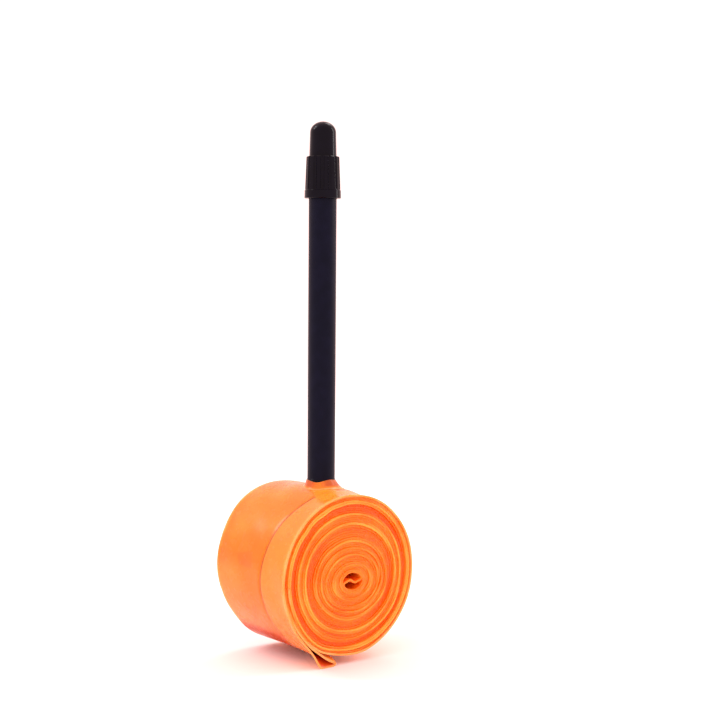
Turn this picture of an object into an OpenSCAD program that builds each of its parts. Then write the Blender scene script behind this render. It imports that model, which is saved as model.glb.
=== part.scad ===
// Rolled-up bicycle inner tube of thin thermoplastic film, with a long smooth plastic valve.
// The frame's origin is on the valve axis, where the bare stem leaves the collar of film.
// +Z runs out along the valve. The roll winds about an axis along Y, and its coiled face
// looks along -Y. The free end hangs at the lower -X side and forms a loop there.

/* [Wound film] */
// Diameter over the wound film, below the valve
roll_d = 29; // [28:0.5:30]
// Width of the tube lying flat, which is the length of the roll
film_w = 21.6; // [20:0.2:23]
// Distance from the valve axis to the coiled front face
valve_inset = 9.2; // [8.6:0.1:9.8]
// Thickness of one turn: two strands of the folded ring, four layers of film
turn_t = 0.68; // [0.6:0.02:0.76]
// How far single turns stand out of the flat face, or in from it
telescope = 0.35; // [0.1:0.05:0.5]
// Thickness of the last turn, which is wound loosely
wrap_t = 1.3; // [1.2:0.05:1.5]
// Height of the round roll above the surface that the loose last turn stands on
stand_h = 1.8; // [1.4:0.1:2.0]

/* [Free end] */
// Thickness of one strand of the loop, two layers of film
loop_t = 0.36; // [0.3:0.02:0.42]

/* [Valve foot] */
// Diameter of the welded foot under the film
foot_d = 8.8; // [8:0.2:9.6]
// Diameter of the flared collar where it meets the film
collar_d = 8.2; // [7.6:0.2:8.8]
// Height of the flared collar above the film
collar_h = 1.5; // [1.2:0.1:2]

/* [Valve stem] */
// Outer diameter of the smooth stem
stem_d = 5.05; // [4.95:0.05:5.05]
// Diameter of the air passage in the stem
stem_bore_d = 3.2; // [3.1:0.05:3.3]
// Height of the top of the stem
stem_top = 56.1; // [55.9:0.1:56.3]
// Crest diameter of the cap's thread at the top of the stem
thread_d = 5.2; // [5.15:0.05:5.2]

/* [Valve core] */
// Diameter of the core's barrel, which screws into the stem
barrel_d = 3.76; // [3.7:0.02:3.76]
// Diameter of the threaded part of the pin
pin_d = 2.0; // [1.9:0.05:2]
// Outer diameter of the knurled lock nut
nut_d = 3.5; // [3.4:0.05:3.6]
// Height of the lock nut
nut_h = 2.2; // [2:0.05:2.2]
// How far the pin moves down when the valve opens
pin_travel = 1.5; // [1.2:0.1:1.5]

/* [Dust cap] */
// Height of the cap's round tip above the collar
cap_top = 65; // [64.8:0.1:65.3]
// Overall length of the cap
cap_l = 13.85; // [13.7:0.05:14]
// Diameter of the plain ring at the cap's mouth
cap_ring_d = 6.65; // [6.5:0.05:6.8]
// Number of grip ribs around the cap
cap_ribs = 14; // [10:1:18]

/* [Hidden] */
$fn = 96;

// Colours
film_c = [1.0, 0.52, 0.2];
film_dark_c = [0.93, 0.4, 0.13];
stem_c = [0.11, 0.11, 0.15];
cap_c = [0.07, 0.07, 0.1];
brass_c = [0.82, 0.68, 0.35];
seal_c = [0.16, 0.16, 0.17];
gasket_c = [0.93, 0.93, 0.9];

// Roll
film_z = -collar_h;
roll_r = roll_d / 2;
roll_z = film_z - roll_r;
wrap_in_r = roll_r - wrap_t;
coil_r = wrap_in_r - 0.03;
front_y = -valve_inset;
back_y = film_w - valve_inset;
fold_r = 3;
turns = floor((coil_r - fold_r) / turn_t);
floor_z = roll_z - roll_r - stand_h;
belly_low = floor_z - roll_z;
belly_half = 6;
belly_corner_r = 1.5;
belly_front_y = 2;
belly_t = 0.7;

// Free end: centres of the loop's three corners, from the roll's centre
loop_corner_r = 0.45;
loop_root_a = 225;
loop_root_r = roll_r + loop_corner_r + 0.05;
loop_heel_x = -6.9;
loop_tip_x = -3.7;
loop_low_z = floor_z + loop_corner_r;

// Foot
foot_t = 0.7;
foot_top_r = roll_r - 0.5;
foot_low_r = foot_top_r - foot_t;
stem_low_z = roll_z + foot_low_r;
stem_neck_d = 4.4;
thread_root_d = 4.6;
thread_pitch = 1.06;
cap_low_z = cap_top - cap_l;
plain_top_z = cap_low_z - 0.05;

// Core heights
barrel_bore_d = barrel_d + 0.04;
shoulder_z = stem_top - 8.4;
core_low_z = shoulder_z - 2.2;
gasket_h = 1.2;
nose_d = 2.9;
core_bore_d = pin_d + 0.2;
flange_h = 0.6;
flats_h = 1.6;
core_top_z = stem_top + flange_h + flats_h;
nut_z = core_top_z + 0.05;
shank_d = 1.5;
thread_low_z = stem_top + 1;
head_h = 0.5;
head_z = nut_z + nut_h + pin_travel + 0.05;
seal_h = 1.35;
seal_d = 2.8;
cup_h = 0.5;
cup_d = 2.3;

// Cap
ring_h = 1.5;
skirt_h = 6.05;
skirt_low_r = 3.2;
skirt_top_r = 2.98;
dome_low_r = 2.48;
dome_top_r = 2.36;
tip_h = 2.0;
cap_wall = 0.5;
cap_bore_r = thread_d / 2 + 0.05;
cap_bore_top = stem_top + flange_h + 0.3;
groove_r = 0.42;
groove_in = 0.2;

// Places a shape drawn in the XZ plane about the roll's centre, from y0 on over length l
module along_roll(y0, l)
  translate([0, y0 + l, roll_z]) rotate([90, 0, 0]) linear_extrude(l) children();

// How far the edge of turn i stands out of the coiled face
function edge_out(i) = telescope * (0.6 * sin(i * 137) + 0.4 * sin(i * 61 + 40));

// Outline of the roll's round part, and of the loose belly that the roll stands on
module round_part(r) circle(r, $fn = 64);
module belly(r, half, low) {
  round_part(r);
  for (s = [-1, 1]) translate([s * (half - belly_corner_r), low + belly_corner_r])
    circle(belly_corner_r, $fn = 32);
}

// Outer shape of the last turn: round at the front, and sagging to the floor further back
module wrap_shape(r, half, low, y0, y1) {
  hull() {
    along_roll(y0, 0.4) round_part(r);
    along_roll(belly_front_y, y1 - belly_front_y) belly(r, half, low);
  }
}

module wrap_outer()
  wrap_shape(roll_r, belly_half, belly_low, front_y, back_y);

// Turn i of the coil: a ring whose edges stand a little out of its neighbours' at both ends
module turn_ring(i) {
  r = fold_r + i * turn_t;
  r_out = (i == turns - 1) ? coil_r : r + turn_t;
  polygon([
    [r, -front_y - telescope + edge_out(i)], [r_out, -front_y - telescope + edge_out(i)],
    [r_out, -back_y + telescope + edge_out(i)], [r, -back_y + telescope + edge_out(i)]
  ]);
}

// Main coil of the folded film, without its middle
module wound_turns()
  color(film_c) translate([0, 0, roll_z]) rotate([90, 0, 0])
    rotate_extrude() for (i = [0:turns - 1]) turn_ring(i);

// A round-ended slot, for the two lobes of the fold
module lobe(l, d) {
  for (s = [-1, 1]) translate([s * l / 2, 0]) circle(d / 2, $fn = 32);
  square([l, d], center = true);
}

// The first fold in the middle of the roll: an S of film with a lobe open on each side
module inner_fold()
  color(film_dark_c) along_roll(front_y + 0.8, film_w - 1.6)
    difference() {
      circle(fold_r);
      translate([0.15, 0.95]) rotate(8) lobe(2.2, 1.3);
      translate([-0.15, -0.95]) rotate(8) lobe(2.3, 1.25);
    }

// The loose last turn, which carries the valve
module outer_wrap()
  color(film_c) difference() {
    wrap_outer();
    wrap_shape(wrap_in_r, belly_half - 0.6, belly_low + belly_t, front_y - 1, back_y + 1);
    foot_shape();
    stem_hole();
  }

// The three corners of the free end's loop, as rods along the roll
module loop_rods(r, y0, l) {
  translate([loop_root_r * cos(loop_root_a), 0, loop_root_r * sin(loop_root_a) + roll_z])
    along_y(r, y0, l);
  translate([loop_heel_x, 0, loop_low_z]) along_y(r, y0, l);
  translate([loop_tip_x, 0, loop_low_z]) along_y(r, y0, l);
}
module along_y(r, y0, l) translate([0, y0 + l, 0]) rotate([90, 0, 0]) cylinder(r = r, h = l, $fn = 24);

// The free end: the ring's far fold, an open loop of film under the roll
module end_loop()
  color(film_dark_c) difference() {
    hull() loop_rods(loop_corner_r, front_y, film_w - 0.4);
    hull() loop_rods(loop_corner_r - loop_t, front_y - 1, film_w + 2);
    wrap_outer();
  }

// A round saddle cut from a shell about the roll's axis
module foot_shape()
  intersection() {
    along_roll(-10, 20) difference() {
      circle(foot_top_r);
      circle(foot_low_r);
    }
    translate([0, 0, roll_z]) cylinder(d = foot_d, h = roll_r);
  }

// What the stem's neck takes out of the film, the foot and the collar
module stem_hole() translate([0, 0, roll_z]) cylinder(d = stem_neck_d, h = roll_r + 2 * collar_h);

// Foot of the valve, welded to the inside of the film
module valve_foot()
  color(film_dark_c) difference() {
    foot_shape();
    stem_hole();
  }

// Flared collar of film drawn up around the stem and welded to it
module weld_collar()
  color(film_c) difference() {
    rotate_extrude() difference() {
      translate([0, film_z - 2]) square([collar_d / 2, 2 + collar_h]);
      translate([collar_d / 2 + 0.05, 0.35]) circle(collar_h + 0.15);
    }
    along_roll(-10, 20) circle(roll_r);
    stem_hole();
  }

// Smooth stem: neck in the collar, air passage, counterbore for the core, thread under the cap
module valve_stem()
  color(stem_c) difference() {
    union() {
      translate([0, 0, stem_low_z]) cylinder(d = stem_neck_d, h = -stem_low_z);
      cylinder(d = stem_d, h = plain_top_z);
      cylinder(d = thread_root_d, h = stem_top);
      for (i = [0:2]) translate([0, 0, stem_top - 0.7 - i * thread_pitch]) thread_crest();
    }
    translate([0, 0, stem_low_z - 1]) cylinder(d = stem_bore_d, h = stem_top);
    translate([0, 0, shoulder_z]) cylinder(d = barrel_bore_d, h = stem_top);
  }

// One crest of the thread that the dust cap holds on to
module thread_crest()
  rotate_extrude() polygon([
    [thread_root_d / 2 - 0.2, -0.45], [thread_d / 2, -0.08],
    [thread_d / 2, 0.08], [thread_root_d / 2 - 0.2, 0.45]
  ]);

// Core body: nose with the valve seat, barrel, stop flange and two spanner flats
module core_body()
  color(brass_c) difference() {
    union() {
      translate([0, 0, core_low_z]) cylinder(d = nose_d, h = shoulder_z - core_low_z + 2);
      translate([0, 0, shoulder_z + gasket_h])
        cylinder(d = barrel_d, h = stem_top - shoulder_z - gasket_h);
      translate([0, 0, stem_top]) cylinder(d = 4.6, h = flange_h);
      intersection() {
        translate([0, 0, stem_top]) cylinder(d = 3.6, h = flange_h + flats_h);
        translate([-5, -1.5, stem_top]) cube([10, 3, 5]);
      }
    }
    translate([0, 0, core_low_z - 1]) cylinder(d = core_bore_d, h = 20);
  }

// Sealing ring between the core's barrel and the shoulder in the stem
module core_gasket()
  color(gasket_c) translate([0, 0, shoulder_z]) difference() {
    cylinder(d = barrel_bore_d, h = gasket_h);
    translate([0, 0, -1]) cylinder(d = nose_d, h = gasket_h + 2);
  }

// Pin: plain shank through the core, threaded upper part and a spread tip that keeps the nut
module valve_pin()
  color(brass_c) {
    translate([0, 0, core_low_z - 0.03 - seal_h - cup_h])
      cylinder(d = shank_d, h = thread_low_z - core_low_z + 0.03 + seal_h + cup_h);
    translate([0, 0, thread_low_z]) cylinder(d = pin_d, h = head_z - thread_low_z);
    translate([0, 0, head_z]) cylinder(d = 2.5, h = head_h);
  }

// Rubber seal on the pin, which closes against the core's nose from below
module pin_seal()
  color(seal_c) translate([0, 0, core_low_z - 0.03 - seal_h]) difference() {
    rotate_extrude() polygon([
      [0, 0], [cup_d / 2, 0], [seal_d / 2, seal_h - 0.4], [seal_d / 2, seal_h - 0.15],
      [seal_d / 2 - 0.15, seal_h], [0, seal_h]
    ]);
    translate([0, 0, -1]) cylinder(d = shank_d, h = seal_h + 2);
  }

// Small cup at the pin's lower end, which holds the seal
module seal_cup()
  color(brass_c) translate([0, 0, core_low_z - 0.03 - seal_h - cup_h]) difference() {
    cylinder(d = cup_d, h = cup_h);
    translate([0, 0, -1]) cylinder(d = shank_d, h = cup_h + 2);
  }

// Knurled lock nut on the pin's thread
module lock_nut()
  color(brass_c) translate([0, 0, nut_z]) difference() {
    union() {
      cylinder(d = nut_d, h = nut_h - 0.5);
      translate([0, 0, nut_h - 0.5]) cylinder(d1 = nut_d, d2 = nut_d - 0.8, h = 0.5);
    }
    translate([0, 0, -1]) cylinder(d = pin_d + 0.08, h = nut_h + 2);
    for (i = [0:17]) rotate(i * 20) translate([nut_d / 2 + 0.06, 0, -1])
      cylinder(r = 0.16, h = nut_h + 2, $fn = 16);
  }

// Outline of the cap's outside, as half a section
module cap_profile() {
  dome_z = cap_low_z + ring_h + skirt_h;
  tip_z = cap_top - tip_h;
  polygon(concat(
    [[0, cap_low_z], [cap_ring_d / 2 - 0.1, cap_low_z], [cap_ring_d / 2, cap_low_z + 0.1],
     [cap_ring_d / 2 - 0.03, cap_low_z + ring_h - 0.06],
     [skirt_low_r, cap_low_z + ring_h], [skirt_top_r, dome_z - 0.12],
     [skirt_top_r - 0.12, dome_z], [dome_low_r, dome_z]],
    [for (a = [0:7.5:90]) [dome_top_r * cos(a), tip_z + tip_h * sin(a)]]
  ));
}

// Dust cap: ribbed skirt over the stem's thread, closed dome over the pin
module dust_cap()
  color(cap_c) difference() {
    rotate_extrude() cap_profile();
    translate([0, 0, cap_low_z - 1]) cylinder(r = cap_bore_r, h = cap_bore_top - cap_low_z + 1);
    cylinder(r = dome_top_r - cap_wall + 0.09, h = cap_top - 1.7);
    skirt_grooves();
  }

// Grooves between the cap's grip ribs, leaning with the skirt's taper
module skirt_grooves() {
  lean = atan((skirt_low_r - skirt_top_r) / skirt_h);
  for (i = [0:cap_ribs - 1]) rotate(i * 360 / cap_ribs)
    translate([skirt_low_r + groove_r - groove_in, 0, cap_low_z + ring_h + 0.15])
      rotate([0, -lean, 0]) cylinder(r = groove_r, h = skirt_h + 1, $fn = 24);
}

wound_turns();
inner_fold();
outer_wrap();
end_loop();
valve_foot();
weld_collar();
valve_stem();
core_body();
core_gasket();
valve_pin();
pin_seal();
seal_cup();
lock_nut();
dust_cap();
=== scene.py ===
import math

import bpy
import numpy as np
from mathutils import Matrix, Vector


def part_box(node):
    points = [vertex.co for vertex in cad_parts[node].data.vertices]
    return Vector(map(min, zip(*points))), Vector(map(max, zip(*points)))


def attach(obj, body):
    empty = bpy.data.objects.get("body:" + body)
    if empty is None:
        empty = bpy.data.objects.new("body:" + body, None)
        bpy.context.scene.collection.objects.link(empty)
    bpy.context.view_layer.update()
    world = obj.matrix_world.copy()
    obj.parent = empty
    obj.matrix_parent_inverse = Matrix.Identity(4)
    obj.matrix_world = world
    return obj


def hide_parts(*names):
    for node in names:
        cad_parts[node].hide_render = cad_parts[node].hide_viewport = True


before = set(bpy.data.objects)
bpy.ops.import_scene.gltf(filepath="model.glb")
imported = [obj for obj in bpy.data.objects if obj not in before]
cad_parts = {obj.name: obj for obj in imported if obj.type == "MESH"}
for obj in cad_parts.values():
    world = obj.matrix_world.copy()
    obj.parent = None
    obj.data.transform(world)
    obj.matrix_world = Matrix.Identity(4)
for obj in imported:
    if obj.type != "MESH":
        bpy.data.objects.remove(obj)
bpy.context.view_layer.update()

MM = 0.001

# ---------------------------------------------------------------- places taken from the CAD frame
wrap_low, wrap_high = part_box("outer_wrap")
coil_low, coil_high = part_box("wound_turns")

ROLL_Z = (coil_low.z + coil_high.z) / 2 / MM      # height of the roll's centre
ROLL_R = wrap_high.z / MM - ROLL_Z                # outer radius of the wound film at the valve
FRONT_Y = wrap_low.y / MM                         # the coiled face
BACK_Y = wrap_high.y / MM
FLOOR_Z = wrap_low.z / MM                         # what the roll stands on

# ---------------------------------------------------------------- the film's route, in mm
# The film lies flat, folded to two strands that are wound up together from their middle. Routes are
# drawn in the XZ plane about the roll's centre. An angle runs from +X towards +Z.
FILM_T = 0.35                 # two layers of film with a little air
COIL_T = 0.42                 # the same in the coil, where its turns leave room for more air
PITCH = 0.7015                # growth of the roll's radius per turn, which is two strands
START_A = 76                  # where the even winding starts, in degrees after the S
START_R = 1.92
OVAL = 0.13                   # the middle turns are this much wider than they are high
EYE = (0.5, -1.1)             # place of the S, from the roll's centre
FADE_R0, FADE_R1 = 2.0, 12.5  # the turns are oval and off centre up to the first, even from the second
END_A = 6495                  # where the outer strand leaves the roll for the end loop
LAST_A = END_A - 372          # where the piece for the last turn takes over


def smooth(t):
    """A smooth step from 0 to 1."""
    t = min(1.0, max(0.0, t))
    return t * t * (3 - 2 * t)


def eye_share(r):
    """1 in the middle of the coil, which is oval and off centre, and 0 in its even outer turns."""
    return 1 - smooth((r - FADE_R0) / (FADE_R1 - FADE_R0))


def arm(a, second):
    """A point of one strand, a degrees after the S, with the room across the strand there."""
    r = START_R + PITCH * (a - START_A) / 360
    f = math.radians(a + (0 if second else 180))
    share = eye_share(r)
    slope = (eye_share(r + 0.05) - eye_share(r - 0.05)) / 0.1
    c, s = math.cos(f), math.sin(f)
    k, rk = OVAL * share, OVAL * slope * r
    room = (1 + k + rk) * c * c + (1 - k - rk) * s * s + slope * (EYE[0] * c + EYE[1] * s)
    x = r * (1 + k) * c + EYE[0] * share
    z = r * (1 - k) * s + EYE[1] * share
    return x, z, room, r


def polar(*pairs):
    """Points from pairs of angle, in degrees, and radius."""
    return [(r * math.cos(math.radians(f)), r * math.sin(math.radians(f))) for f, r in pairs]


def spline(points, step, like=None):
    """Points along a smooth curve through the given ones, about a step apart. With like, another route
    of as many points, they are as many as on that route."""
    p = np.array(points, float)
    gaps = np.linalg.norm(np.diff(p if like is None else np.array(like, float), axis=0), axis=1)
    p = np.vstack([2 * p[0] - p[1], p, 2 * p[-1] - p[-2]])
    out = []
    for i in range(1, len(p) - 2):
        n = max(1, int(round(gaps[i - 1] / step)))
        for t in np.arange(n) / n:
            out.append(0.5 * (2 * p[i] + (p[i + 1] - p[i - 1]) * t
                              + (2 * p[i - 1] - 5 * p[i] + 4 * p[i + 1] - p[i + 2]) * t ** 2
                              + (3 * p[i] - p[i - 1] - 3 * p[i + 1] + p[i + 2]) * t ** 3))
    out.append(p[-2])
    return np.array(out)


def arm_run(a0, a1, second, step):
    """Stations of one strand from a0 to a1 degrees, as rows of x, z, room, radius, winding angle."""
    rows, a = [], a0
    while a < a1:
        x, z, room, r = arm(a, second)
        rows.append((x, z, room, r, a + (0 if second else 180)))
        a += math.degrees(step(r) / r)
    x, z, room, r = arm(a1, second)
    rows.append((x, z, room, r, a1 + (0 if second else 180)))
    return rows


# ---------------------------------------------------------------- how the edges of the turns lie
# How far the film's edge lies behind the face, as (radius of the turn, depth)
EDGE_DEPTHS = [(1.0, 0.3), (2.0, 0.08), (2.8, 0.34), (3.4, 0.06), (4.2, 0.42), (4.8, 0.36), (5.15, 0.06),
               (5.6, 0.36), (6.0, 0.08), (6.6, 0.45), (7.3, 0.08), (7.8, 0.5), (8.7, 0.6), (9.2, 0.45),
               (9.6, 0.06), (10.1, 0.4), (10.7, 0.34), (11.15, 0.05), (11.5, 0.62), (12.6, 0.66),
               (12.8, 0.1), (13.35, 0.08), (13.55, 0.4), (13.9, 0.42)]
EVEN_R = 13.2       # from this radius on, an edge's depth is the same all round


def edge_in(r, f, second):
    """Depth of a strand's front edge behind the face, at winding angle f."""
    g = math.radians(f)
    d = float(np.interp(r - 0.25 * (1 - math.sin(g)) * smooth((EVEN_R - r) / 2), *zip(*EDGE_DEPTHS)))
    d += 0.04 * math.sin(2 * g + r) + 0.03 * math.sin(3 * g - 1.7 * r)
    d += 0.02 * math.sin(g * 0.37 + (2.1 if second else 0)) + (0.03 if second else 0)
    return max(0.02, d)


# ---------------------------------------------------------------- how the turns are out of round
# Small kinks of the outer turns at the face: angle, radius, depth
KINKS = [(117, 12.4, 0.26), (139, 13.3, 0.22), (101, 13.0, 0.12), (64, 12.6, -0.1)]
KINK_HALF_F, KINK_HALF_R = 4.5, 0.8
# The outer turns bulge at the face towards the end loop: angle, half width on either side, height
BULGE_F, BULGE_BEFORE, BULGE_AFTER, BULGE = 240, 22, 14, 0.5
# Where the outer turns stand out behind the face, at the upper left: angle, height
FULLER = [(126, 0.6), (172, 0.35)]
FULLER_HALF_F = 24
LOOP_DEPTH = 1.3        # the end loop and the bulge die away over this depth behind the face
KINK_DEPTH = 1.5
FLARE, FLARE_DEPTH = 0.2, 2.5     # the outer turns spread a little at the face


def near_face(y, depth=LOOP_DEPTH):
    """1 at the coiled face, and less the further a point is behind it."""
    return math.exp(-max(0.0, y - FRONT_Y) / depth)


def droop(y):
    """How much lower the roll lies towards its face than at its back."""
    return 0.3 * smooth((4 - y) / 13)


def fuller(f, r, y):
    """How far the outer turns stand out at the upper left behind the face."""
    share = smooth((y + 4) / 14) * smooth((r - 7) / 7)
    return share * sum(high * math.exp(-((f - at) / FULLER_HALF_F) ** 2) for at, high in FULLER)


def kink(x, z, y, i=0):
    """Moves a point of the wound film by all that makes the turns uneven."""
    f, r = math.degrees(math.atan2(z, x)) % 360, math.hypot(x, z)
    dr = sum(-deep * math.exp(-((f - at) / KINK_HALF_F) ** 2 - ((r - at_r) / KINK_HALF_R) ** 2)
             for at, at_r, deep in KINKS)
    dr += 0.05 * math.sin(math.radians(5 * f) + 2 * r) * smooth((r - 3) / 3) * smooth((13 - r) / 1.5)
    dr *= near_face(y, KINK_DEPTH)
    half = BULGE_BEFORE if f < BULGE_F else BULGE_AFTER
    dr += BULGE * math.exp(-((f - BULGE_F) / half) ** 2) * smooth((r - 8) / 6) * near_face(y)
    dr += fuller(f, r, y) + FLARE * near_face(y, FLARE_DEPTH) * smooth((r - 6) / 8)
    return x * (1 + dr / r), z * (1 + dr / r)


# ---------------------------------------------------------------- meshes
def new_mesh(name, verts, faces, attributes=None, sharp=50):
    """A smooth-shaded object. Attributes are values for each point; edges over sharp degrees stay hard."""
    mesh = bpy.data.meshes.new(name)
    mesh.from_pydata([tuple(v) for v in verts], [], faces)
    for key, values in (attributes or {}).items():
        a = mesh.attributes.new(key, "FLOAT", "POINT")
        a.data.foreach_set("value", np.asarray(values, np.float32))
    mesh.polygons.foreach_set("use_smooth", [True] * len(mesh.polygons))
    mesh.set_sharp_from_angle(angle=math.radians(sharp))
    mesh.update()
    obj = bpy.data.objects.new(name, mesh)
    bpy.context.scene.collection.objects.link(obj)
    return obj


ARC = 7            # points round each folded edge of the film
COIL_MIDS, LAST_MIDS = 2, 64      # points across the film between its edges
SQUARE = 0.5       # below 1, the folded edge is squarer than a half circle
BLUNT = 0.5        # how far the folded edge stands out, in half thicknesses


def bend(v):
    """Squares off a sine or cosine of the folded edge's round."""
    return math.copysign(abs(v) ** SQUARE, v)


def section(mids):
    """The film's cross-section as rows of (end, along, across): end is -1 at the front edge, 1 at the
    back edge, 0 between; along is in half thicknesses from the edge, or the share of the width."""
    rows = []
    for side in (1, -1):
        shares = [(i + 0.5) / mids for i in range(mids)]
        rows += [(0, share if side > 0 else 1 - share, side) for share in shares]
        for i in range(ARC):
            b = math.pi / 2 - math.pi * i / (ARC - 1)
            rows.append((side, BLUNT - BLUNT * bend(math.cos(b)), side * bend(math.sin(b))))
    return rows


def normals(path):
    """Directions across a route, towards its left."""
    tan = np.gradient(path, axis=0)
    tan /= np.linalg.norm(tan, axis=1)[:, None]
    return np.column_stack([tan[:, 1], -tan[:, 0]])


EDGE_LIGHT_REACH = 1.2      # how far from its edge the film still carries the edge's painted highlight or shade
THINNER = 0.97        # thickness of the film between its folded edges, as a share of theirs


def strip(name, path, front, back, thick, tone, mids, shape, rear=None, marks=None):
    """Sweeps the film's section along a route. rear is the route well behind the face. shape moves a
    point (x, z, y, station), and marks has a function of the same for each further attribute. The
    attribute inside is 1 on the side of the film that faces into the end loop."""
    path = np.asarray(path, float)
    n = len(path)
    out = normals(path)
    rear = path if rear is None else rear
    rear_out = normals(rear)
    rows = section(mids)
    verts, edge_lights, inside, extra = [], [], [], {key: [] for key in marks or {}}
    for i in range(n):
        h = thick[i] / 2
        for end, along, across in rows:
            if end == 0:
                y = front[i] + h + (back[i] - front[i] - 2 * h) * along
                edge = max(0.0, 1 - min(y - front[i], back[i] - y) / EDGE_LIGHT_REACH)
                wide = THINNER
            else:
                y = front[i] + along * h if end < 0 else back[i] - along * h
                edge = 1.0
                wide = 1.0
            w = near_face(y)
            centre = path[i] * w + rear[i] * (1 - w)
            side = out[i] * w + rear_out[i] * (1 - w)
            side = side / math.hypot(*side)
            x, z = centre + side * h * across * wide
            x, z = shape(x, z, y, i)
            verts.append((x * MM, y * MM, (z - droop(y) + ROLL_Z) * MM))
            # the edges' painted highlight or shade, fading to none away from the film's edges
            edge_lights.append(0.5 + (tone[i] - 0.5) * edge)
            inside.append(max(0.0, -across) * (1 if end == 0 else 0.3))
            for key, mark in (marks or {}).items():
                extra[key].append(mark(x, z, y, i))
    m = len(rows)
    faces = [(i * m + j, i * m + (j + 1) % m, (i + 1) * m + (j + 1) % m, (i + 1) * m + j)
             for i in range(n - 1) for j in range(m)]
    faces.append(tuple(range(m - 1, -1, -1)))
    faces.append(tuple((n - 1) * m + j for j in range(m)))
    return new_mesh(name, verts, faces, {"edge_tone": edge_lights, "inside": inside, **extra})


STAGGER = 0.75                        # room for the edges to lie at different depths
WIDTH = BACK_Y - FRONT_Y - STAGGER    # width of the film lying flat


def edges(rows, seconds):
    """Where the film starts and ends along y at each station, and the painted light of its front edge: high
    for a painted highlight where it stands out, low for painted shade where it lies back.
    """
    front, back, tone = [], [], []
    for (x, z, room, r, f), second in zip(rows, seconds):
        d = edge_in(r, f, second)
        front.append(FRONT_Y + d)
        back.append(FRONT_Y + d + WIDTH)
        # painted highlight where the edge lies near the face, painted shade where it lies deep, with less
        # contrast in the middle
        soft = 0.45 + 0.55 * smooth((r - 6) / 4)
        tone.append(0.5 + soft * (min(1.0, max(0.0, 1 - (d - 0.05) / 0.6)) - 0.5))
    return front, back, tone


# Main coil: one strand inwards, the S, and the other strand outwards
S_HALF = [(0, 0), (-0.3, 0.2), (-0.62, 0.28), (-1.0, 0.14), (-1.4, 0.0), (-1.8, -0.14), (-2.0, -0.5),
          (-1.78, -1.0), (-1.2, -1.42)]
S_STEP = 0.12
S_R, S_ROOM = 2.0, 1.15       # the S has the edge depth of the turns at this radius, and this much room


def coil_step(r):
    """Distance between stations of the coil, which needs more of them in the middle."""
    return 0.22 + 0.05 * r


a_rows = arm_run(START_A, LAST_A, False, coil_step)
b_rows = arm_run(START_A, LAST_A - 180, True, coil_step)
inwards, outwards = a_rows[:1:-1], b_rows[2:]
s_points = [(x + EYE[0], z + EYE[1]) for x, z in S_HALF]
s_mirror = [(-x + EYE[0], -z + EYE[1]) for x, z in S_HALF[1:]]
middle = spline([a_rows[1][:2], a_rows[0][:2]] + s_points[::-1] + s_mirror + [b_rows[0][:2], b_rows[1][:2]],
                S_STEP)
middle_rows = [(x, z, S_ROOM, S_R, 180 - i) for i, (x, z) in enumerate(middle)]    # a degree a station
coil_rows = inwards + middle_rows + outwards
coil_path = [row[:2] for row in coil_rows]
in_middle = range(len(middle))
seconds = [False] * len(inwards) + [i > len(middle) / 2 for i in in_middle] + [True] * len(outwards)
front, back, tone = edges(coil_rows, seconds)
thick = [min(COIL_T, 0.97 * PITCH / 2 * row[2]) for row in coil_rows]
film_coil = strip("film_coil", coil_path, front, back, thick, tone, COIL_MIDS, kink)

# Last turn: the outer strand, the loop at the end and the inner strand back. At the face the loop
# hangs open to the floor; further back it lies against the roll. Both routes have as many points.
LOOP_TIP = (-3.3, -15.72)
LOOP_FACE = (polar((206, 14.46), (216, 14.72), (226, 14.93), (234, 15.27), (240, 15.88))
             + [(-7.2, -15.1), (-6.35, -16.14), (-5.2, -16.1), (-4.0, -16.0), LOOP_TIP,
                (-3.75, -15.34), (-4.7, -14.85)]
             + polar((247, 15.25), (243, 15.0), (238.5, 14.84), (233, 14.71), (226, 14.54), (216, 14.37),
                     (206, 14.24)))
LOOP_REAR = polar((206, 14.42), (216, 14.44), (226, 14.6), (234, 14.86), (240, 15.02), (245, 15.12),
                  (250, 15.19), (254, 15.22), (257.5, 15.18), (259.6, 14.94), (257.5, 14.7), (254, 14.62),
                  (250, 14.56), (245, 14.47), (240, 14.36), (234, 14.26), (226, 14.15), (216, 14.07),
                  (205, 14.06))
LAST_STEP = 0.42


def arm_knots(a0, a1, second):
    """Points of one strand 1.2 mm apart."""
    return [row[:2] for row in arm_run(a0 + 0.2, a1, second, lambda r: 1.2)]


outer_knots = arm_knots(LAST_A, END_A, False)
inner_knots = arm_knots(LAST_A - 180, END_A - 180, True)[::-1]
knots = outer_knots + LOOP_FACE + inner_knots
last = spline(knots, LAST_STEP)
last_rear = spline(outer_knots + LOOP_REAR + inner_knots, LAST_STEP, knots)
run = np.concatenate([[0], np.cumsum(np.linalg.norm(np.diff(last, axis=0), axis=1))])
tip = run[np.argmin(np.hypot(*(last - LOOP_TIP).T))]
# 1 on the round part of the last turn, 0 on the loop
on_round = np.array([smooth((abs(s - tip) - 9) / 9) for s in run])

BELLY_X, BELLY_HALF = 3, 3.6      # middle and half width of the sagging stretch


def belly(x, z, y):
    """How far the loose turn sags under the roll, down to the floor behind the face."""
    if z > -6:
        return 0.0
    deep = (0.35 + 1.95 * smooth((y + 7) / 8)) * math.exp(-((x - BELLY_X) / BELLY_HALF) ** 2)
    round_low = math.sqrt(max(0.0, (ROLL_R + 0.04) ** 2 - x * x))
    room = max(0.001, ROLL_Z - FLOOR_Z - droop(y) - round_low)
    return deep * room / (deep ** 4 + room ** 4) ** 0.25


# The crease round the roll's left side: its y at the top, and how far back it then moves between two
# angles. The last move, on the hidden side, brings it round to where it began
CREASE_TOP_Y = -4.9
CREASE_MOVES = [(80, 190, 3.2), (205, 255, -0.9), (250, 340, -2.3)]


def crease_y(f):
    """Where the crease runs, at angle f round the roll."""
    return CREASE_TOP_Y + sum(back * smooth((f - f0) / (f1 - f0)) for f0, f1, back in CREASE_MOVES)


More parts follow.
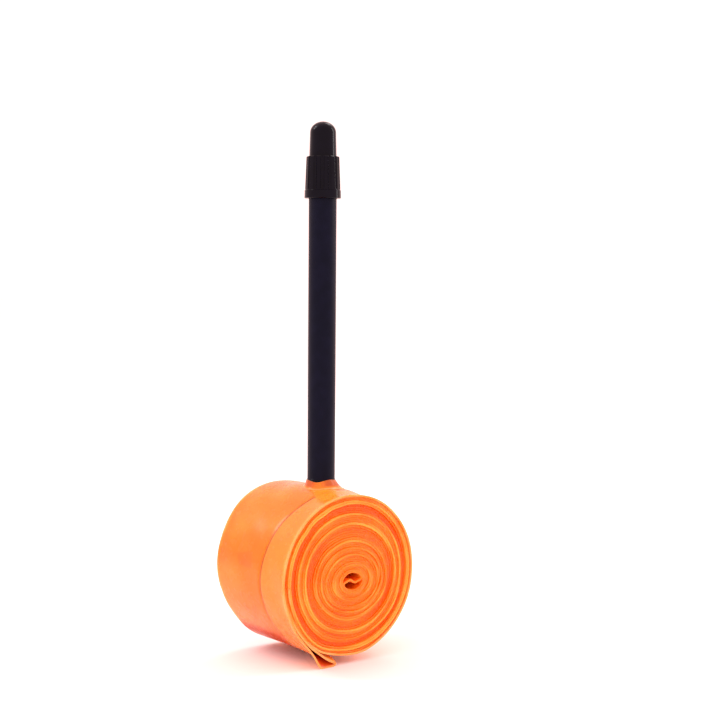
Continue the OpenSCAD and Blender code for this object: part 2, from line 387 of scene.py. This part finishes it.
def from_crease(x, z, y, i=0):
    """Distance behind the crease that runs round the roll's left side."""
    f = math.degrees(math.atan2(z, x)) % 360
    return min(3.0, max(-3.0, y - crease_y(f)))


CREASE_DEEP, CREASE_STEP = 0.07, 0.06     # the crease's groove, and the step up behind it
FOOT_LIFT = 0.42                          # how far the foot holds the film off the roll


def foot_share(x, y):
    """1 over the welded foot of the valve, which holds the film up round it."""
    return smooth(1.75 - math.hypot((x - 0.3) / 5.2, y / 4.8))


def last_shape(x, z, y, i):
    """Moves a point of the last turn by its crease, unevenness, lift over the foot, kinks and belly."""
    f = math.degrees(math.atan2(z, x)) % 360
    r = math.hypot(x, z)
    g = math.radians(f)
    lift = 0.0
    if 60 < f < 260:
        share = smooth((f - 85) / 20) * smooth((250 - f) / 20)
        behind = from_crease(x, z, y)
        lift -= CREASE_DEEP * share * math.exp(-(behind / 0.28) ** 2)
        lift += CREASE_STEP * share * smooth(behind / 0.7)
    lift += 0.05 * math.sin(3.1 * g + 0.35 * y) * math.sin(0.42 * y + 2 * g)
    lift += 0.025 * math.sin(9 * g + 0.9 * y)
    if z > 0:
        lift += FOOT_LIFT * foot_share(x, y)
    lift *= on_round[i]
    x, z = x * (1 + lift / r), z * (1 + lift / r)
    if on_round[i] > 0:
        moved = kink(x, z, y)
        x, z = x + (moved[0] - x) * on_round[i], z + (moved[1] - z) * on_round[i]
    z -= belly(x, z, y) * on_round[i]
    return x, max(z, FLOOR_Z - ROLL_Z + 0.01 + droop(y))


# Corners of the flat where the film lies close on the foot, in front and to the left of the collar,
# and of a smaller flat low on the left side: mm round the roll from its top, and y
PATCH = [(1.4, -0.3), (3.4, -1.9), (4.7, -4.7), (4.7, -7.4), (2.9, -8.8), (-0.5, -4.0)]
SIDE_PATCH = [(19.7, 5.6), (21.5, 4.6), (21.7, 0.9), (18.8, 1.4)]


def inside_of(corners, u, y):
    """Distance inside a convex outline whose corners go round clockwise, in mm."""
    inside = 3.0
    for (u0, y0), (u1, y1) in zip(corners, corners[1:] + corners[:1]):
        inside = min(inside, ((u - u0) * (y1 - y0) - (y - y0) * (u1 - u0)) / math.hypot(u1 - u0, y1 - y0))
    return max(-3.0, inside)


def patch_mark(x, z, y, i):
    """Distance inside the flat by the foot."""
    return inside_of(PATCH, math.atan2(-x, z) * ROLL_R, y)


def side_mark(x, z, y, i):
    """Distance inside the flat on the left side."""
    return inside_of(SIDE_PATCH, math.atan2(-x, z) * ROLL_R, y)


def loop_mark(x, z, y, i):
    """1 on the loop at the film's end, close to the face."""
    return smooth((12 - abs(run[i] - tip)) / 4) * smooth((FRONT_Y + 9 - y) / 5)


def set_back(i):
    """1 where the last turn's front edge lies back among the turns, 0 where it stands at the face."""
    return max(smooth((run[i] - tip - 10) / 10) * smooth((run[-1] - run[i]) / 10), 1 - smooth(run[i] / 16))


def last_edge(i):
    """Depth of the last turn's front edge behind the face."""
    s = 0.08 + 0.04 * math.sin(run[i] / 7) + 0.03 * math.sin(run[i] / 2.9 + 1)
    return max(0.02, s + 0.36 * set_back(i))


def under_mark(x, z, y, i):
    """1 on the roll's underside at the left, which is darker and duller."""
    f = math.degrees(math.atan2(z, x)) % 360
    return smooth((f - 222) / 12) * smooth((262 - f) / 8) * smooth((y + 4) / 4)


front = [FRONT_Y + last_edge(i) for i in range(len(last))]
back = [FRONT_Y + 0.2 + WIDTH] * len(last)
# painted highlight on the front edge where it stands at the face, painted shade where it lies back among
# the turns
tone = [0.9 - 0.6 * set_back(i) for i in range(len(run))]
last_marks = {"crease": from_crease, "patch": patch_mark, "side": side_mark, "loop": loop_mark,
              "under": under_mark}
film_last_turn = strip("film_last_turn", last, front, back, [FILM_T] * len(last), tone, LAST_MIDS,
                       last_shape, last_rear, last_marks)

# Collar: the film drawn up round the stem and welded to it
STEM_R = 2.525        # the bare stem, which is thinner than its thread
AROUND = 120          # steps round the stem
LIP = [(0.0, 0.0), (0.02, 0.07), (0.08, 0.1), (0.15, 0.07), (0.18, 0.0)]   # out and up from the stem
INTO_STEM = 0.015     # the collar grips the stem by this much
COLLAR_STEPS = 16     # from the lip to the foot


def film_top(x, y):
    """Height of the last turn's upper side."""
    r = ROLL_R + FOOT_LIFT * foot_share(x, y)
    return ROLL_Z + math.sqrt(max(0.0, r * r - x * x)) - droop(y)


def bump_at(b, middle, half):
    """A smooth hump over the directions near middle, in degrees."""
    off = (math.degrees(b) - middle + 180) % 360 - 180
    return math.exp(-(off / half) ** 2)


def round_stem(name, section_at, **attributes):
    """A closed ring round the stem. section_at(b) lists the section's points in the direction b, each a
    row that starts with radius and height. attributes says which column holds each attribute."""
    sections = [section_at(2 * math.pi * k / AROUND) for k in range(AROUND)]
    n = len(sections[0])
    verts = []
    for k, rows in enumerate(sections):
        b = 2 * math.pi * k / AROUND
        verts += [(row[0] * math.cos(b) * MM, row[0] * math.sin(b) * MM, row[1] * MM) for row in rows]
    faces = []
    for k in range(AROUND):
        here, there = k * n, (k + 1) % AROUND * n
        faces += [(here + j, there + j, there + (j + 1) % n, here + (j + 1) % n) for j in range(n)]
    values = {key: [row[column] for rows in sections for row in rows] for key, column in attributes.items()}
    return new_mesh(name, verts, faces, values)


def collar_section(b):
    """Rows of radius, height, edge painted light and collar darkness and highlight, from the lip out to the
    foot and back under the film. The last column darkens the collar's upper part where it is positive and
    paints a highlight along its foot where it is negative.
    """
    c, s = math.cos(b), math.sin(b)
    lip_z = -0.1 - 0.2 * bump_at(b, 217, 24) + 0.16 * bump_at(b, 272, 30) + 0.05 * math.sin(3 * b)
    foot_r = 3.35 + 0.95 * bump_at(b, -38, 62) + 0.08 * math.sin(4 * b)
    dark = 0.9 - 0.8 * bump_at(b, 226, 22)
    rows = [(STEM_R - INTO_STEM + out, lip_z + up, dark) for out, up in LIP]
    r0, z0 = rows[-1][:2]
    rise = z0 - film_top(r0 * c, r0 * s)
    for i in range(1, COLLAR_STEPS + 1):
        t = i / COLLAR_STEPS
        r = r0 + (foot_r - r0) * t ** 1.5
        z = film_top(r * c, r * s) + rise * (1 - smooth(t)) * (1 - 0.25 * t) + 0.01 * (1 - t)
        rows.append((r, z, dark * (1 - smooth((t - 0.5) / 0.3)) - 0.9 * smooth((t - 0.72) / 0.2)))
    low = film_top(foot_r * c, foot_r * s)
    rows += [(foot_r + 0.05, low - 0.05, -0.4), (foot_r, low - 0.45, -0.4),
             (STEM_R - INTO_STEM, film_top(0, 0) - 0.5, 0.0)]
    return [(r, z, 0.6, weld) for r, z, weld in rows]


# A thin bead of the stem's plastic at its base, where the film's lip ends: out and up from the stem
BEAD = [(-0.03, -0.5), (0.09, -0.5), (0.09, -0.2), (0.085, 0.0), (0.05, 0.15), (0.0, 0.21), (-0.03, 0.2)]


def bead_section(b):
    """Rows of radius and height, a little higher and lower round the stem."""
    sway = 0.05 * math.sin(b + 1) + 0.03 * math.sin(4 * b)
    return [(STEM_R + out, up + sway) for out, up in BEAD]


film_collar = round_stem("film_collar", collar_section, edge_tone=2, weld=3)
stem_bead = round_stem("stem_bead", bead_section)


# ---------------------------------------------------------------- materials
class Look:
    """A node material with one Principled shader."""

    def __init__(self, name, **sockets):
        self.mat = bpy.data.materials.new(name)
        self.mat.use_nodes = True
        self.tree = self.mat.node_tree
        self.shader = self.tree.nodes["Principled BSDF"]
        for key, value in sockets.items():
            self.shader.inputs[key.replace("_", " ")].default_value = value

    def node(self, kind, links=None, **settings):
        n = self.tree.nodes.new(kind)
        for key, value in settings.items():
            setattr(n, key, value)
        for key, value in (links or {}).items():
            self.put(n.inputs[key], value)
        return n

    def put(self, socket, value):
        """Links a socket to another, or sets its value."""
        if isinstance(value, bpy.types.NodeSocket):
            self.tree.links.new(value, socket)
        else:
            socket.default_value = value

    def math(self, op, a, b=0.0, c=0.0):
        return self.node("ShaderNodeMath", {0: a, 1: b, 2: c}, operation=op).outputs[0]

    def ramp(self, value, low, high):
        """0 where the value is low and 1 where it is high, smoothly between."""
        return self.node("ShaderNodeMapRange", {"Value": value, "From Min": low, "From Max": high},
                         interpolation_type="SMOOTHSTEP").outputs[0]

    def mix(self, share, a, b):
        n = self.tree.nodes.new("ShaderNodeMix")
        n.data_type = "RGBA"
        self.put(n.inputs[0], share)
        self.put(n.inputs[6], a)
        self.put(n.inputs[7], b)
        return n.outputs[2]

    def paint(self, colour, over, share, most=1.0):
        """The colour with another over it, up to most of it where share is 1."""
        return self.mix(self.math("MULTIPLY", share, most), colour, over)

    def noise(self, scale, detail=2.0, stretch=(1, 1, 1), rough=0.5):
        at = self.node("ShaderNodeTexCoord").outputs["Object"]
        at = self.node("ShaderNodeMapping", {"Vector": at, "Scale": stretch}).outputs[0]
        return self.node("ShaderNodeTexNoise",
                         {"Vector": at, "Scale": scale, "Detail": detail, "Roughness": rough}).outputs[0]

    def bump(self, height, strength, distance, under=None):
        links = {"Height": height, "Strength": strength, "Distance": distance}
        if under:
            links["Normal"] = under
        return self.node("ShaderNodeBump", links).outputs[0]

    def finish(self, colour=None, rough=None, normal=None):
        for key, value in (("Base Color", colour), ("Roughness", rough), ("Normal", normal)):
            if value is not None:
                self.put(self.shader.inputs[key], value)
        return self.mat


def rgb(r, g, b):
    """A colour given as it looks on the screen, 0 to 255."""
    def lin(v):
        v /= 255
        return v / 12.92 if v <= 0.04045 else ((v + 0.055) / 1.055) ** 2.4
    return lin(r), lin(g), lin(b), 1.0


HIGHLIGHT_YELLOW = rgb(253, 162, 60)          # painted highlight on edges that stand out
ORANGE = rgb(247, 117, 16)          # the film in general
SHADE_RED = rgb(247, 96, 10)              # painted shade on recessed edges
PALE = rgb(248, 146, 50)            # in front of the crease, and in clouds behind it
OCHRE = rgb(246, 148, 48)           # the flat by the foot
CREASE_SHADE = rgb(150, 70, 8)              # painted shade along the crease
DARK_ORANGE = rgb(238, 98, 10)      # the flat on the left side
LOOP_SHADE = rgb(205, 58, 8)              # painted shade inside the end loop
SHADED = rgb(196, 66, 6)            # the underside
COLLAR_DARK = rgb(172, 82, 36)             # darker colour of the collar's upper part
PALE_HIGHLIGHT = rgb(252, 176, 110)      # painted highlight along the collar's foot, and on the last turn's front edge
FILM_GLOSS = 0.3


def film_look(name, outside=False, welded=False):
    """Glossy, slightly milky film. Edges that stand out get a painted highlight, yellower, and recessed
    ones painted shade, redder. The last turn's outside has the crease with painted shade along it, the
    flats, painted shade inside the loop and a painted highlight on its front edge, and the collar is darker
    on its upper part, with a painted highlight along its foot."""
    look = Look(name, Subsurface_Weight=0.45, Subsurface_Radius=(1.0, 0.35, 0.1), Subsurface_Scale=0.001,
                Specular_IOR_Level=FILM_GLOSS, IOR=1.47)

    def mark(key):
        return look.node("ShaderNodeAttribute", attribute_name=key).outputs["Fac"]

    # painted light on the edges, with random blotches: redder shade where they lie back, yellower highlight
    # where they stand out
    blotch = look.noise(170, 2.0, (1, 0.6, 1))
    tone = look.math("MULTIPLY_ADD", look.math("SUBTRACT", blotch, 0.5), 0.7, mark("edge_tone"))
    colour = look.mix(look.ramp(tone, 0.0, 0.5), SHADE_RED, ORANGE)
    colour = look.mix(look.ramp(tone, 0.5, 1.0), colour, HIGHLIGHT_YELLOW)
    coarse = look.noise(260, 2.0, (1, 0.45, 1))
    fine = look.noise(1900, 3.0)
    normal = look.bump(coarse, 0.4, 0.0003)
    normal = look.bump(fine, 0.2, 0.00004, normal)
    if outside:
        crease = mark("crease")
        cloud = look.noise(95, 1.5, (1, 0.6, 1))
        colour = look.paint(colour, PALE, look.ramp(cloud, 0.45, 0.65), 0.35)
        colour = look.paint(colour, PALE, look.ramp(crease, 0.1, -0.1), 0.5)
        colour = look.paint(colour, DARK_ORANGE, look.ramp(mark("side"), -0.3, 0.15), 0.55)
        # painted highlight on the last turn's front edge where it stands at the face
        colour = look.paint(colour, PALE_HIGHLIGHT, look.ramp(tone, 0.7, 0.95), 0.6)
        # painted shade along the crease's groove
        colour = look.paint(colour, CREASE_SHADE, look.ramp(look.math("ABSOLUTE", crease), 0.27, 0.08), 0.8)
        colour = look.paint(colour, OCHRE, look.ramp(mark("patch"), -0.05, 0.08), 0.8)
        under = mark("under")
        colour = look.paint(colour, SHADED, under)
        gloss = look.math("MULTIPLY_ADD", under, -0.27, FILM_GLOSS)
        look.put(look.shader.inputs["Specular IOR Level"], gloss)
        # painted shade inside the end loop, close to the face
        inside = look.math("MULTIPLY", mark("inside"), mark("loop"))
        colour = look.paint(colour, LOOP_SHADE, look.ramp(inside, 0.0, 0.8), 0.85)
    if welded:
        weld = mark("weld")
        # darker on the collar's upper part
        colour = look.paint(colour, COLLAR_DARK, look.ramp(weld, 0.0, 1.0), 0.85)
        # painted highlight along the collar's foot
        colour = look.paint(colour, PALE_HIGHLIGHT, look.ramp(weld, 0.0, -1.0), 0.85)
    rough = look.math("MULTIPLY_ADD", look.noise(700), 0.2, 0.16)
    return look.finish(colour, rough, normal)


def plastic_look(name, colour, worn, rough, grain=2600, bump=0.2, **sockets):
    """Moulded plastic with a fine grain and slightly uneven gloss."""
    look = Look(name, **sockets)
    cloud = look.noise(420, 3.0)
    normal = look.bump(look.noise(grain, 3.0), bump, 0.00004)
    return look.finish(look.mix(look.ramp(cloud, 0.35, 0.7), colour, worn),
                       look.math("MULTIPLY_ADD", cloud, 0.12, rough - 0.06), normal)


def metal_look(name, colour, dark):
    """Turned brass with fine rings along the axis."""
    look = Look(name, Metallic=1.0)
    rings = look.noise(900, 2.0, (0.15, 0.15, 4))
    normal = look.bump(rings, 0.25, 0.00003)
    return look.finish(look.mix(look.ramp(look.noise(700), 0.3, 0.7), colour, dark),
                       look.math("MULTIPLY_ADD", rings, 0.2, 0.2), normal)


film = film_look("film")
film_outside = film_look("film_outside", outside=True)
film_welded = film_look("film_welded", welded=True)
stem_look = plastic_look("stem_satin", rgb(5, 8, 27), rgb(9, 12, 33), 0.4, Specular_IOR_Level=0.09)
cap_look = plastic_look("cap_gloss", rgb(4, 4, 15), rgb(7, 7, 20), 0.16, bump=0.1, Specular_IOR_Level=0.11)
brass = metal_look("brass_turned", rgb(205, 175, 110), rgb(180, 148, 86))
seal = plastic_look("seal_rubber", rgb(22, 22, 22), rgb(34, 34, 34), 0.7, grain=3200, bump=0.4)
gasket = plastic_look("gasket_white", rgb(232, 232, 226), rgb(216, 216, 208), 0.4)
foot = plastic_look("foot_plastic", rgb(236, 138, 48), rgb(220, 118, 40), 0.35)


def dress(obj, mat):
    obj.data.materials.clear()
    obj.data.materials.append(mat)


for piece, nodes, mat in ((film_coil, ("wound_turns", "inner_fold"), film),
                          (film_last_turn, ("outer_wrap", "end_loop"), film_outside),
                          (film_collar, ("weld_collar",), film_welded)):
    dress(piece, mat)
    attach(piece, "tube")
    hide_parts(*nodes)
dress(stem_bead, cap_look)
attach(stem_bead, "tube")

for name, mat in (("valve_foot", foot), ("valve_stem", stem_look), ("core_body", brass),
                  ("core_gasket", gasket), ("valve_pin", brass), ("pin_seal", seal), ("seal_cup", brass),
                  ("lock_nut", brass), ("dust_cap", cap_look)):
    dress(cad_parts[name], mat)

# ---------------------------------------------------------------- floor, light and camera
floor_look = Look("floor_white", Base_Color=(0.96, 0.955, 0.955, 1), Roughness=0.8, Specular_IOR_Level=0.1)
floor_corners = [(x, y, FLOOR_Z * MM) for x, y in ((-3, -3), (3, -3), (3, 3), (-3, 3))]
floor = new_mesh("floor", floor_corners, [(0, 1, 2, 3)])
dress(floor, floor_look.mat)

world = bpy.data.worlds.new("studio")
bpy.context.scene.world = world
world.use_nodes = True
sky = world.node_tree.nodes["Background"]
sky.inputs["Color"].default_value = (1, 0.735, 0.705, 1)    # bright enough to be white, with warm shadows
sky.inputs["Strength"].default_value = 1.5


def area_light(name, place, aim, size, power):
    """A rectangular lamp at a place, in metres, that faces aim."""
    data = bpy.data.lights.new(name, "AREA")
    data.shape, data.size, data.size_y, data.energy = "RECTANGLE", *size, power
    obj = bpy.data.objects.new(name, data)
    obj.location = place
    obj.rotation_euler = (Vector(aim) - Vector(place)).to_track_quat("-Z", "Y").to_euler()
    bpy.context.scene.collection.objects.link(obj)


area_light("key", (0.3, 0.12, 0.45), (0, 0, 0), (0.2, 0.2), 0.5)
area_light("strip_left", (-0.25, 0.28, 0.39), (0, 0, 0.06), (0.08, 0.3), 0.9)
area_light("strip_right", (0.43, -0.19, 0.22), (0, 0, 0.06), (0.06, 0.3), 0.5)

camera_data = bpy.data.cameras.new("camera")
camera_data.lens, camera_data.sensor_width = 75, 36
camera_data.clip_start, camera_data.clip_end = 0.01, 20
camera = bpy.data.objects.new("camera", camera_data)
bpy.context.scene.collection.objects.link(camera)
CAMERA_AT = Vector((-162.3, -219.4, 38.27)) * MM
LOOK_AT = Vector((5.70, -4.46, 21.92)) * MM
OUT_OF_LEVEL = 0.00748        # radians
ASIDE = 0.27 * MM
turn = (LOOK_AT - CAMERA_AT).to_track_quat("-Z", "Y").to_matrix() @ Matrix.Rotation(OUT_OF_LEVEL, 3, "Z")
camera.location = CAMERA_AT - turn.col[0] * ASIDE
camera.rotation_euler = turn.to_euler()
bpy.context.scene.camera = camera
bpy.context.scene.view_settings.view_transform = "Standard"
